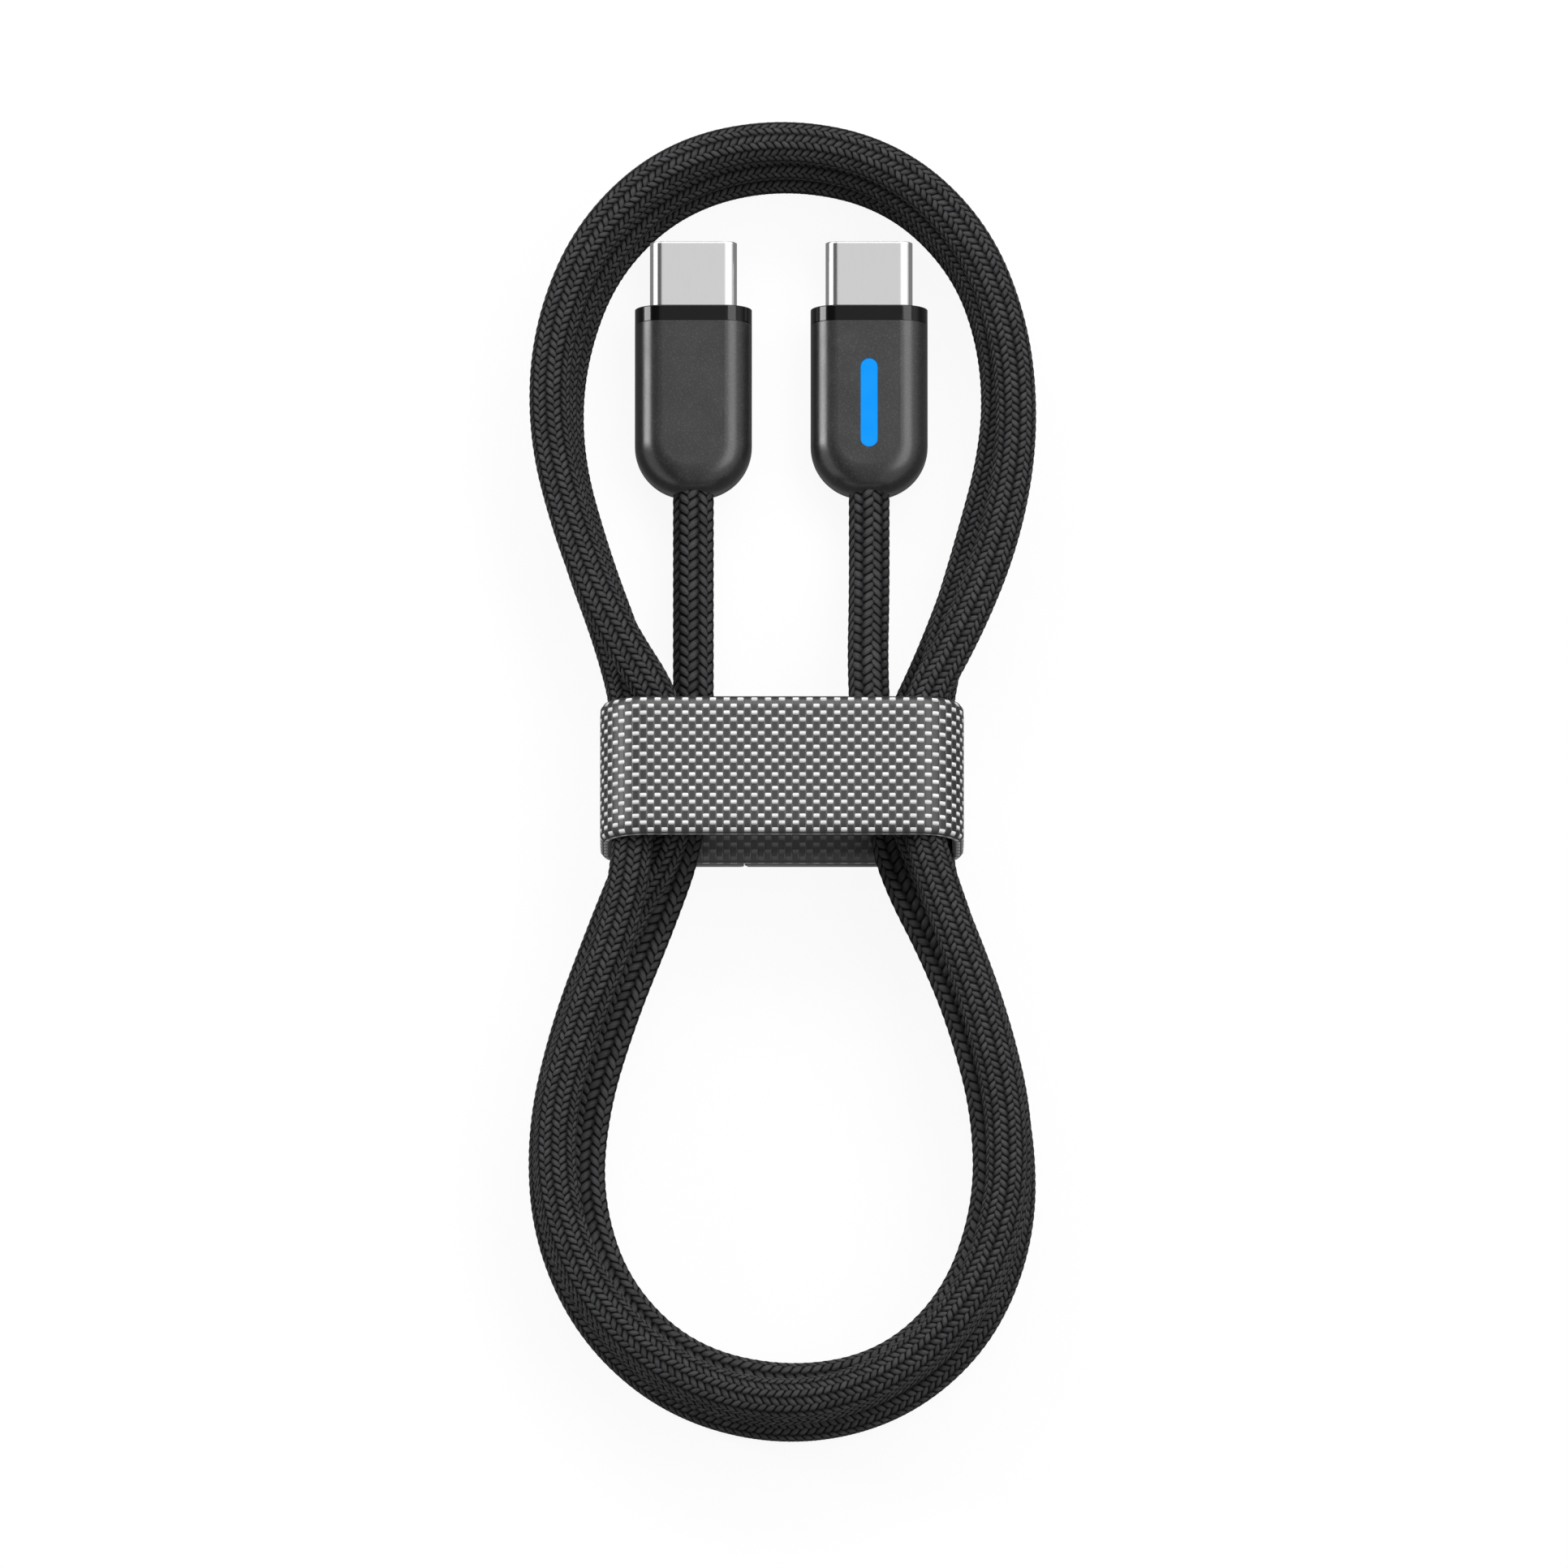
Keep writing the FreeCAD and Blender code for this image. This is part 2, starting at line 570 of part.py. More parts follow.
ROUTES = {
    "cord_left_leg": [
        (-8.4, 31.0, 3.25), (-8.4, 25.0, 3.25), (-8.4, 18.5, 3.4), (-8.4, 11.5, 4.0), (-8.4, 5.0, 4.2),
        (-8.8, 0.0, 4.2),
    ],
    "cord_lower_pass_1": [
        (-8.8, 0.0, 4.2), (-9.2, -5.0, 4.2), (-12.0, -13.0, 4.2), (-15.5, -21.7, 4.2),
        (-18.3, -31.0, 4.2), (-18.9, -40.0, 4.2), (-16.0, -49.0, 4.3), (-9.1, -55.8, 4.5),
        (0.6, -58.1, 4.6), (9.9, -56.4, 4.7), (16.7, -50.2, 4.8), (20.0, -41.0, 5.2), (19.9, -31.8, 5.4),
        (17.6, -23.0, 5.8), (14.8, -16.0, 5.8), (11.5, -9.5, 5.8), (9.9, -4.0, 4.85), (10.4, 0.0, 4.55),
    ],
    "cord_upper_pass_1": [
        (10.4, 0.0, 4.55), (11.0, 5.0, 4.2), (14.7, 13.0, 3.4), (18.2, 23.0, 1.95), (20.8, 33.0, 1.95),
        (20.8, 43.0, 1.95), (17.6, 52.0, 1.95), (10.3, 58.8, 1.95), (0.0, 60.9, 1.95),
        (-9.8, 58.5, 1.95), (-17.0, 51.8, 1.95), (-20.5, 42.5, 1.95), (-20.9, 33.0, 1.95),
        (-18.2, 23.0, 1.95), (-14.8, 13.5, 3.2), (-12.2, 5.0, 4.2), (-12.6, 0.0, 4.2),
    ],
    "cord_lower_pass_2": [
        (-12.6, 0.0, 4.2), (-13.0, -5.0, 4.2), (-16.3, -13.0, 3.5), (-20.2, -23.3, 1.95),
        (-22.3, -33.3, 1.95), (-21.6, -43.3, 1.95), (-17.3, -52.3, 1.95), (-9.6, -58.8, 1.95),
        (0.5, -61.3, 1.95), (10.4, -59.2, 1.95), (18.1, -52.7, 1.95), (22.0, -43.3, 1.95),
        (22.1, -33.3, 1.95), (19.6, -23.5, 1.95), (15.8, -13.5, 2.7), (13.9, -5.0, 4.5),
        (13.9, 0.0, 6.1),
    ],
    "cord_upper_pass_2": [
        (13.9, 0.0, 6.1), (13.9, 5.0, 7.7), (15.4, 13.5, 7.0), (18.2, 23.0, 5.85), (20.8, 33.0, 5.85),
        (20.9, 43.0, 5.85), (17.6, 52.2, 5.85), (9.9, 59.3, 5.85), (-0.3, 61.4, 5.85),
        (-10.2, 58.8, 5.85), (-17.5, 51.8, 5.85), (-21.2, 42.5, 5.85), (-21.5, 33.0, 5.85),
        (-19.2, 23.0, 5.9), (-15.8, 13.5, 6.7), (-14.05, 6.0, 8.3), (-14.0, 0.0, 9.9),
    ],
    "cord_lower_pass_3": [
        (-14.0, 0.0, 9.9), (-13.9, -6.0, 11.5), (-15.2, -14.5, 11.4), (-18.9, -23.8, 10.6),
        (-21.6, -33.0, 10.3), (-21.1, -42.8, 10.5), (-16.9, -52.0, 10.8), (-9.4, -58.6, 11.0),
        (0.2, -61.1, 11.3), (9.6, -58.9, 11.6), (17.3, -52.3, 12.0), (21.1, -43.0, 12.3),
        (21.3, -33.2, 12.6), (19.1, -23.5, 12.9), (15.8, -14.0, 12.9), (12.9, -5.0, 11.75),
        (12.6, 0.0, 11.8),
    ],
    "cord_upper_pass_3": [
        (12.6, 0.0, 11.8), (12.3, 5.0, 11.85), (17.2, 14.0, 11.0), (20.8, 23.5, 10.0), (22.4, 33.3, 9.75),
        (21.6, 43.5, 9.75), (17.8, 53.0, 9.75), (10.2, 59.9, 9.75), (0.0, 62.1, 9.75),
        (-10.2, 59.9, 9.75), (-17.8, 53.0, 9.75), (-21.7, 43.5, 9.75), (-22.2, 33.5, 9.75),
        (-19.8, 23.7, 10.2), (-16.4, 14.8, 11.3), (-10.4, 5.4, 11.3), (-10.2, 0.0, 9.9),
    ],
    "cord_lower_pass_4": [
        (-10.2, 0.0, 9.9), (-10.0, -5.4, 8.5), (-15.0, -13.4, 7.5), (-19.2, -22.7, 6.6),
        (-21.8, -32.3, 6.5), (-21.5, -42.0, 6.7), (-17.6, -51.0, 7.0), (-10.4, -57.9, 7.2),
        (-1.2, -60.9, 7.5), (8.8, -59.0, 7.8), (17.1, -52.5, 8.2), (21.5, -43.0, 8.4),
        (21.9, -33.2, 8.8), (19.6, -23.3, 9.1), (16.1, -13.8, 9.1), (12.4, -5.0, 8.15),
        (10.4, 0.0, 8.35),
    ],
    "cord_right_leg": [
        (10.4, 0.0, 8.35), (8.4, 5.0, 8.55), (8.1, 11.5, 6.8), (8.26, 18.5, 4.4), (8.26, 25.0, 3.25),
        (8.26, 31.0, 3.25),
    ],
}


def cord_path(points):
    """Straight runs joined by tangent arcs, with the length and the tightest radius."""
    knots = [FreeCAD.Vector(*point) for point in points]
    edges = []
    radii = []
    last = knots[0]
    for before, knot, after in zip(knots, knots[1:], knots[2:]):
        back = before - knot
        ahead = after - knot
        reach = 0.45 * min(back.Length, ahead.Length)
        turn = math.pi - back.getAngle(ahead)
        radii.append(reach / math.tan(turn / 2))
        back.normalize()
        ahead.normalize()
        start = knot + back * reach
        end = knot + ahead * reach
        middle = back + ahead
        middle.normalize()
        radius = radii[-1]
        centre = knot + middle * (radius / math.cos(turn / 2))
        edges.append(Part.LineSegment(last, start).toShape())
        edges.append(Part.Arc(start, centre - middle * radius, end).toShape())
        last = end
    edges.append(Part.LineSegment(last, knots[-1]).toShape())
    return Part.Wire(edges), min(radii)


def cord_tube(points):
    path, tightest = cord_path(points)
    start = FreeCAD.Vector(*points[0])
    heading = FreeCAD.Vector(*points[1]) - start
    radius = value_of("cord_diameter / 2")
    ring = Part.Wire([Part.Circle(start, heading, radius).toShape()])
    tube = path.makePipeShell([ring], True, False)
    wanted = math.pi * radius * radius * path.Length
    if abs(tube.Volume - wanted) > 0.01 * wanted:
        raise ValueError("a cord tube's volume is off: %.1f for %.1f" % (tube.Volume, wanted))
    return tube, path.Length, tightest


total = 0
for label, points in ROUTES.items():
    tube, length, tightest = cord_tube(points)
    piece = doc.addObject("Part::Feature", label)
    piece.Shape = tube
    node(piece, label)
    total = total + length
    print("%s: %.1f mm long, tightest radius %.1f mm" % (label, length, tightest))
print("cord: %.0f mm in all" % total)


# Checks and files

doc.recompute()
for thing in doc.Objects:
    if "Invalid" in thing.State or "Error" in thing.State:
        raise ValueError("feature in error: " + thing.Label)
for thing in NODES:
    if thing.Shape.isNull() or not thing.Shape.isValid() or not thing.Shape.Solids:
        raise ValueError("bad shape: " + thing.Label)
os.makedirs("parts", exist_ok=True)
for thing in NODES:
    thing.Shape.exportStep("parts/%s.step" % thing.Label)
    bounds = thing.Shape.BoundBox
    print("%s: %d solids, x %.2f to %.2f, y %.2f to %.2f, z %.2f to %.2f" % (
        thing.Label, len(thing.Shape.Solids), bounds.XMin, bounds.XMax, bounds.YMin, bounds.YMax,
        bounds.ZMin, bounds.ZMax))
print("%d nodes" % len(NODES))
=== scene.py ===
import bpy
import bmesh
import math
import numpy as np
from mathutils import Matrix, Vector


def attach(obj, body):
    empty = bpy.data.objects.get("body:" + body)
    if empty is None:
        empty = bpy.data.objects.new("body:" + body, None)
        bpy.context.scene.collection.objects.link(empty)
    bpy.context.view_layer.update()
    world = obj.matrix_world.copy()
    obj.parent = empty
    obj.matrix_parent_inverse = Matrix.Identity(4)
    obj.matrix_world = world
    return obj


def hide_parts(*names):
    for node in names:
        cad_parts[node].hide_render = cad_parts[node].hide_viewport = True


# A braided charging cable wound into a hank, in metres, lying on a pale table at z = 0.

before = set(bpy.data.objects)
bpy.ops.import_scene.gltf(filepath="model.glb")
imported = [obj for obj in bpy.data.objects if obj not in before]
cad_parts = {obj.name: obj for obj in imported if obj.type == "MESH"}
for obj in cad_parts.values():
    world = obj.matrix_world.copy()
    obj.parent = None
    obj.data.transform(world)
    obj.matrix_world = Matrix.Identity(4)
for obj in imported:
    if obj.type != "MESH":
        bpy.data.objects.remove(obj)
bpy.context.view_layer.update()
MM = 0.001


# Camera and light

def look_from(azimuth, elevation, distance, target, width):
    """A long lens at the photograph's angle, whose frame is as wide as stated at the target."""
    a = math.radians(azimuth)
    e = math.radians(elevation)
    away = Vector((-math.sin(a) * math.cos(e), -math.cos(a) * math.cos(e), math.sin(e)))
    data = bpy.data.cameras.new("long_lens")
    data.sensor_width = 36
    data.lens = 36 * distance / width
    data.clip_start = 0.05
    data.clip_end = 20
    camera = bpy.data.objects.new("camera", data)
    camera.location = Vector(target) + away * distance
    camera.rotation_euler = away.to_track_quat("Z", "Y").to_euler()
    bpy.context.scene.collection.objects.link(camera)
    bpy.context.scene.camera = camera


look_from(azimuth=0, elevation=77.5, distance=6.0, target=(0.19 * MM, 0.07 * MM, 6 * MM),
          width=148.4 * MM)


def soft_box(name, place, size, power, aim=(0, 0, 0)):
    """A rectangular softbox that faces its aim."""
    data = bpy.data.lights.new(name, "AREA")
    data.shape = "RECTANGLE"
    data.size, data.size_y = size
    data.energy = power
    lamp = bpy.data.objects.new(name, data)
    lamp.location = place
    lamp.rotation_euler = (Vector(place) - Vector(aim)).to_track_quat("Z", "Y").to_euler()
    bpy.context.scene.collection.objects.link(lamp)
    return lamp


LAMPS = [
    soft_box("softbox_left", place=(-0.62, 0.185, 0.27), size=(0.16, 0.34), power=2.3, aim=(0, 0.185, 0)),
    soft_box("softbox_right", place=(0.40, 0.12, 0.62), size=(0.90, 0.42), power=4.2),
    soft_box("softbox_top", place=(0.0, 0.70, 0.75), size=(0.90, 0.30), power=5.0),
]
bpy.context.scene.view_settings.view_transform = "Standard"


# Node building

class Nodes:
    """A short way to place and join the nodes of one material or group."""

    def __init__(self, tree):
        self.tree = tree

    def add(self, kind, **settings):
        made = self.tree.nodes.new("ShaderNode" + kind)
        for key, value in settings.items():
            setattr(made, key, value)
        return made

    def join(self, source, target):
        self.tree.links.new(source, target)

    def math(self, operation, a, b=0.0, c=0.0):
        made = self.add("Math", operation=operation)
        for socket, value in zip(made.inputs, (a, b, c)):
            if isinstance(value, (int, float)):
                socket.default_value = value
            else:
                self.join(value, socket)
        return made.outputs[0]

    def mix(self, factor, dark, light):
        made = self.add("Mix", data_type="RGBA")
        for key, value in (("Factor_Float", factor), ("A_Color", dark), ("B_Color", light)):
            socket = [s for s in made.inputs if s.identifier == key][0]
            if isinstance(value, tuple):
                socket.default_value = (*value, 1)
            else:
                self.join(value, socket)
        return [s for s in made.outputs if s.identifier == "Result_Color"][0]

    def range(self, value, low, high, to_low=0.0, to_high=1.0):
        made = self.add("MapRange", interpolation_type="SMOOTHSTEP")
        self.join(value, made.inputs["Value"])
        made.inputs["From Min"].default_value = low
        made.inputs["From Max"].default_value = high
        made.inputs["To Min"].default_value = to_low
        made.inputs["To Max"].default_value = to_high
        return made.outputs["Result"]

    def noise(self, vector, scale, detail=2.0, roughness=0.5):
        made = self.add("TexNoise")
        self.join(vector, made.inputs["Vector"])
        made.inputs["Scale"].default_value = scale
        made.inputs["Detail"].default_value = detail
        made.inputs["Roughness"].default_value = roughness
        return made.outputs["Fac"]

    def rounded(self, radius):
        """Normals of the same shape with its sharp edges broken to a small radius."""
        made = self.add("Bevel", samples=8)
        made.inputs["Radius"].default_value = radius
        return made.outputs["Normal"]

    def bump(self, height, distance, strength=1.0, normal=None):
        made = self.add("Bump")
        made.inputs["Strength"].default_value = strength
        made.inputs["Distance"].default_value = distance
        self.join(height, made.inputs["Height"])
        if normal is not None:
            self.join(normal, made.inputs["Normal"])
        return made.outputs["Normal"]


# Studio

# The gloss's surroundings: angle from straight up in degrees, to the right, and brightness there
STUDIO_BANDS = [
    (-180, 0.25), (-112, 0.22), (-96, 1.35), (-52, 1.35), (-44, 0.10), (-16, 0.12), (-10, 0.635),
    (9, 0.675), (14, 1.12), (66, 1.12), (92, 0.16), (180, 0.25),
]
FILL_LIGHT = 0.45
BACK_WALL = 1.9


def studio_world():
    """White behind the object, plain fill light, and for gloss a studio of bright and dark bands
    that run from front to back, with a bright wall behind."""
    world = bpy.data.worlds.new("studio")
    bpy.context.scene.world = world
    world.use_nodes = True
    n = Nodes(world.node_tree)
    world.node_tree.nodes.clear()
    fill = n.add("Background")
    fill.inputs["Color"].default_value = (0.95, 0.97, 1, 1)
    fill.inputs["Strength"].default_value = FILL_LIGHT
    white = n.add("Background")
    white.inputs["Color"].default_value = (1, 1, 1, 1)
    white.inputs["Strength"].default_value = 1
    split = n.add("SeparateXYZ")
    n.join(n.add("TexCoord").outputs["Generated"], split.inputs[0])
    turn = n.math("ARCTAN2", split.outputs["X"], split.outputs["Z"])
    ramp = n.add("ValToRGB")
    stops = ramp.color_ramp.elements
    while len(stops) < len(STUDIO_BANDS):
        stops.new(0.5)
    for stop, (degrees, level) in zip(stops, STUDIO_BANDS):
        stop.position = (degrees + 180) / 360
        stop.color = (level, level, level, 1)
    n.join(n.math("MULTIPLY_ADD", turn, 1 / (2 * math.pi), 0.5), ramp.inputs["Fac"])
    gloss = n.add("Background")
    # the wall starts 20 to 30 degrees from straight up and ends at 50 to 60
    back = split.outputs["Y"]
    wall = n.math("MULTIPLY", n.range(back, 0.32, 0.50), n.range(back, 0.74, 0.84, 1.0, 0.0))
    n.join(n.mix(wall, ramp.outputs["Color"], (BACK_WALL,) * 3), gloss.inputs["Color"])
    gloss.inputs["Strength"].default_value = 1
    rays = n.add("LightPath")
    inner = n.add("MixShader")
    n.join(rays.outputs["Is Glossy Ray"], inner.inputs["Fac"])
    n.join(fill.outputs[0], inner.inputs[1])
    n.join(gloss.outputs[0], inner.inputs[2])
    outer = n.add("MixShader")
    n.join(rays.outputs["Is Camera Ray"], outer.inputs["Fac"])
    n.join(inner.outputs[0], outer.inputs[1])
    n.join(white.outputs[0], outer.inputs[2])
    sky = n.add("OutputWorld")
    n.join(outer.outputs[0], sky.inputs["Surface"])


studio_world()


# Materials

def new_group(name, inputs, outputs):
    """An empty shader group with named value, vector and colour sockets."""
    group = bpy.data.node_groups.new(name, "ShaderNodeTree")
    for label, kind in inputs:
        group.interface.new_socket(label, in_out="INPUT", socket_type="NodeSocket" + kind)
    for label, kind in outputs:
        group.interface.new_socket(label, in_out="OUTPUT", socket_type="NodeSocket" + kind)
    nodes = Nodes(group)
    start = group.nodes.new("NodeGroupInput")
    end = group.nodes.new("NodeGroupOutput")
    return group, nodes, start.outputs, end.inputs


def surface(name, color=(0.5, 0.5, 0.5), roughness=0.5, metallic=0.0, **sockets):
    """A material with one Principled shader, whose plain values are set on its own sockets."""
    made = bpy.data.materials.new(name)
    made.use_nodes = True
    nodes = Nodes(made.node_tree)
    shader = made.node_tree.nodes["Principled BSDF"]
    shader.inputs["Base Color"].default_value = (*color, 1)
    shader.inputs["Roughness"].default_value = roughness
    shader.inputs["Metallic"].default_value = metallic
    for key, value in sockets.items():
        shader.inputs[key.replace("_", " ")].default_value = value
    return made, nodes, shader.inputs


def placed(nodes, group, **values):
    """A node group set into a material, its inputs given as numbers or links."""
    made = nodes.add("Group")
    made.node_tree = group
    for key, value in values.items():
        socket = made.inputs[key.replace("_", " ")]
        if isinstance(value, (int, float)):
            socket.default_value = value
        else:
            nodes.join(value, socket)
    return made.outputs


# Shared effects

# A pick of the braid, in its shading and its mesh alike: its lean, how far it reaches into the next
# column, in columns from its middle, and how steeply it falls to its sides and to its tips
SLANT = 0.62
PICK_REACH = 0.66
SIDE_FALL = 2.3
TIP_FALL = 2.8
# Four threads lie side by side in a pick
THREAD_TURN = 12.6


def braid_group():
    """Slanted picks of a tubular braid, whose columns lean by turns and whose ends reach between
    the picks of the next column."""
    group, n, given, out = new_group(
        "braid_picks",
        [("Place", "Vector"), ("Columns", "Float"), ("Slant", "Float")],
        [("Height", "Float"), ("Groove", "Float"), ("Tint", "Float"), ("Strand", "Float"), ("Dive", "Float")])
    split = n.add("SeparateXYZ")
    n.join(given["Place"], split.inputs[0])
    around = n.math("MULTIPLY", split.outputs["X"], given["Columns"])
    own = n.math("FLOOR", around)
    best = None
    for step in (0, -1, 1):
        column = n.math("ADD", own, step)
        across = n.math("SUBTRACT", n.math("SUBTRACT", around, column), 0.5)
        odd = n.math("FLOORED_MODULO", column, 2.0)
        lean = n.math("MULTIPLY_ADD", odd, 2.0, -1.0)
        slanted = n.math("MULTIPLY", n.math("MULTIPLY", lean, given["Slant"]), across)
        along = n.math("ADD", n.math("MULTIPLY_ADD", odd, 0.5, split.outputs["Y"]), slanted)
        pick = n.math("FLOOR", along)
        part = n.math("SUBTRACT", n.math("MULTIPLY", n.math("SUBTRACT", along, pick), 2.0), 1.0)
        side = n.math("POWER", n.math("ABSOLUTE", part), SIDE_FALL)
        tip = n.math("POWER", n.math("DIVIDE", n.math("ABSOLUTE", across), PICK_REACH), TIP_FALL)
        height = n.math("MAXIMUM", n.math("SUBTRACT", 1.0, n.math("ADD", side, tip)), 0.0)
        seed = n.add("CombineXYZ")
        n.join(n.math("FLOORED_MODULO", column, given["Columns"]), seed.inputs["X"])
        n.join(pick, seed.inputs["Y"])
        spread = n.add("TexWhiteNoise", noise_dimensions="3D")
        n.join(seed.outputs[0], spread.inputs["Vector"])
        ends = n.math("MULTIPLY_ADD", n.math("SINE", n.math("MULTIPLY", part, THREAD_TURN)), 0.5, 0.5)
        found = (height, spread.outputs["Value"], ends, n.math("MULTIPLY", lean, across))
        if best is None:
            best = found
        else:
            over = n.math("GREATER_THAN", found[0], best[0])
            best = tuple(n.math("MULTIPLY_ADD", n.math("SUBTRACT", new, old), over, old)
                         for old, new in zip(best, found))
    n.join(best[0], out["Height"])
    # a mask that is high between the picks, where the finish paints shade into the colour
    n.join(n.range(best[0], 0.06, 0.78, 1.0, 0.0), out["Groove"])
    n.join(best[1], out["Tint"])
    n.join(best[2], out["Strand"])
    # a mask that is high at the end of each pick that dives under the next column, where the finish paints
    # shade
    n.join(n.range(best[3], 0.0, 0.5), out["Dive"])
    return group


def webbing_group():
    """Webbing with short light floats set like bricks, and dark bars between those of a column:
    along is the band, across its width."""
    group, n, given, out = new_group(
        "webbing_floats",
        [("Place", "Vector"), ("Dash Share", "Float"), ("Row Share", "Float")],
        [("Dash", "Float"), ("Shine", "Float"), ("Height", "Float"), ("Tint", "Float"), ("Bar", "Float")])
    split = n.add("SeparateXYZ")
    n.join(given["Place"], split.inputs[0])
    row = n.math("FLOOR", split.outputs["Y"])
    across = n.math("SUBTRACT", split.outputs["Y"], row)
    along = n.math("MULTIPLY_ADD", n.math("FLOORED_MODULO", row, 2.0), 0.5, split.outputs["X"])
    place = n.math("FLOOR", along)
    part = n.math("SUBTRACT", along, place)
    dx = n.math("ABSOLUTE", n.math("SUBTRACT", part, 0.5))
    dx = n.math("DIVIDE", dx, n.math("MULTIPLY", given["Dash Share"], 0.5))
    dy = n.math("ABSOLUTE", n.math("SUBTRACT", across, 0.5))
    dy = n.math("DIVIDE", dy, n.math("MULTIPLY", given["Row Share"], 0.5))
    far = n.math("ADD", n.math("POWER", dx, 6.0), n.math("POWER", dy, 5.0))
    dash = n.range(far, 0.7, 1.3, 1.0, 0.0)
    n.join(dash, out["Dash"])
    # painted highlight: a mask that rises across each row, so that its floats are painted brighter on one
    # side
    n.join(n.range(across, 0.22, 0.62), out["Shine"])
    seed = n.add("CombineXYZ")
    n.join(row, seed.inputs["X"])
    n.join(place, seed.inputs["Y"])
    spread = n.add("TexWhiteNoise", noise_dimensions="3D")
    n.join(seed.outputs[0], spread.inputs["Vector"])
    n.join(spread.outputs["Value"], out["Tint"])
    column = n.math("MULTIPLY", split.outputs["X"], 2.0)
    aside = n.math("ABSOLUTE", n.math("SUBTRACT", column, n.math("ROUND", column)))
    bar = n.range(aside, 0.34, 0.47, 1.0, 0.0)
    n.join(bar, out["Bar"])
    n.join(n.math("MAXIMUM", n.math("MULTIPLY", bar, 0.45), dash), out["Height"])
    return group


def speckle_group():
    """Fine bright grains scattered in a moulded or painted finish."""
    group, n, given, out = new_group(
        "fine_speckle",
        [("Place", "Vector"), ("Scale", "Float"), ("Share", "Float")],
        [("Grain", "Float"), ("Cloud", "Float")])
    cells = n.add("TexVoronoi")
    n.join(given["Place"], cells.inputs["Vector"])
    n.join(given["Scale"], cells.inputs["Scale"])
    pick = n.add("TexWhiteNoise", noise_dimensions="3D")
    n.join(cells.outputs["Position"], pick.inputs["Vector"])
    bright = n.math("LESS_THAN", pick.outputs["Value"], given["Share"])
    n.join(bright, out["Grain"])
    cloud = n.noise(given["Place"], 400.0, 3.0)
    n.join(cloud, out["Cloud"])
    return group


BRAID = braid_group()
WEBBING = webbing_group()
SPECKLE = speckle_group()


# Finishes

def braid_finish(name, columns):
    """Dark threads with painted shade where they dive under the next column and between the picks."""
    made, n, shader = surface(name, roughness=0.62, Specular_IOR_Level=0.05)
    uv = n.add("UVMap", uv_map="braid")
    picks = placed(n, BRAID, Place=uv.outputs["UV"], Columns=float(columns), Slant=SLANT)
    thread = n.mix(picks["Tint"], (0.042, 0.042, 0.043), (0.062, 0.062, 0.064))
    thread = n.mix(n.math("MULTIPLY", picks["Strand"], 0.30), thread, (0.010, 0.010, 0.011))
    # painted shade: each pick darkens towards the end that dives under the next column
    thread = n.mix(n.math("MULTIPLY", picks["Dive"], 0.75), thread, (0.005, 0.005, 0.006))
    # painted shade: the colour goes nearly black between the picks
    n.join(n.mix(picks["Groove"], thread, (0.0012, 0.0012, 0.0013)), shader["Base Color"])
    n.join(n.range(picks["Groove"], 0.0, 1.0, 0.50, 0.95), shader["Roughness"])
    coarse = n.bump(picks["Height"], 0.00022)
    n.join(n.bump(picks["Strand"], 0.00002, 0.6, coarse), shader["Normal"])
    return made


def webbing_finish(name, gap, bar, dim, bright):
    """Woven strap: bars, the gaps between them, and floats with a painted highlight that fades from bright to
    dim.
    """
    made, n, shader = surface(name, roughness=0.45, Specular_IOR_Level=0.45)
    uv = n.add("UVMap", uv_map="webbing")
    weave = placed(n, WEBBING, Place=uv.outputs["UV"], Dash_Share=0.45, Row_Share=0.64)
    ground = n.mix(weave["Bar"], (gap, gap, gap * 0.97), (bar, bar, bar * 0.97))
    light = n.mix(weave["Tint"], (bright * 0.8, bright * 0.8, bright * 0.8), (bright, bright, bright))
    # painted highlight: each float is bright on one side of its row and dim on the other
    light = n.mix(weave["Shine"], (dim, dim, dim), light)
    n.join(n.mix(weave["Dash"], ground, light), shader["Base Color"])
    n.join(n.range(weave["Dash"], 0.0, 1.0, 0.42, 0.55), shader["Roughness"])
    n.join(n.bump(weave["Height"], 0.00006), shader["Normal"])
    return made


def moulded_finish(name, color, bright, roughness, share):
    """A fine matt moulding with a share of brighter grains."""
    made, n, shader = surface(name, roughness=roughness, Specular_IOR_Level=0.5)
    place = n.add("TexCoord").outputs["Object"]
    grain = placed(n, SPECKLE, Place=place, Scale=14000.0, Share=share)
    base = n.mix(grain["Cloud"], tuple(c * 0.95 for c in color), tuple(c * 1.05 for c in color))
    n.join(n.mix(n.math("MULTIPLY", grain["Grain"], 0.35), base, bright), shader["Base Color"])
    n.join(n.range(grain["Cloud"], 0.3, 0.7, roughness - 0.02, roughness + 0.02), shader["Roughness"])
    n.join(n.bump(n.noise(place, 9000.0, 1.0), 0.000003, 0.5), shader["Normal"])
    return made


def metal_finish(name, color, roughness, edge=0.05):
    """Drawn metal with faint lines along its length; the edge is a radius in millimetres."""
    made, n, shader = surface(name, color=color, roughness=roughness, metallic=1.0)
    place = n.add("TexCoord").outputs["Object"]
    stretch = n.add("Mapping")
    stretch.inputs["Scale"].default_value = (3.0, 0.4, 3.0)
    n.join(place, stretch.inputs["Vector"])
    lines = n.noise(stretch.outputs["Vector"], 900.0, 3.0, 0.6)
    n.join(n.mix(lines, tuple(c * 0.98 for c in color), tuple(min(1.0, c * 1.02) for c in color)),
           shader["Base Color"])
    n.join(n.range(lines, 0.3, 0.7, roughness - 0.003, roughness + 0.003), shader["Roughness"])
    n.join(n.rounded(edge * MM), shader["Normal"])
    return made


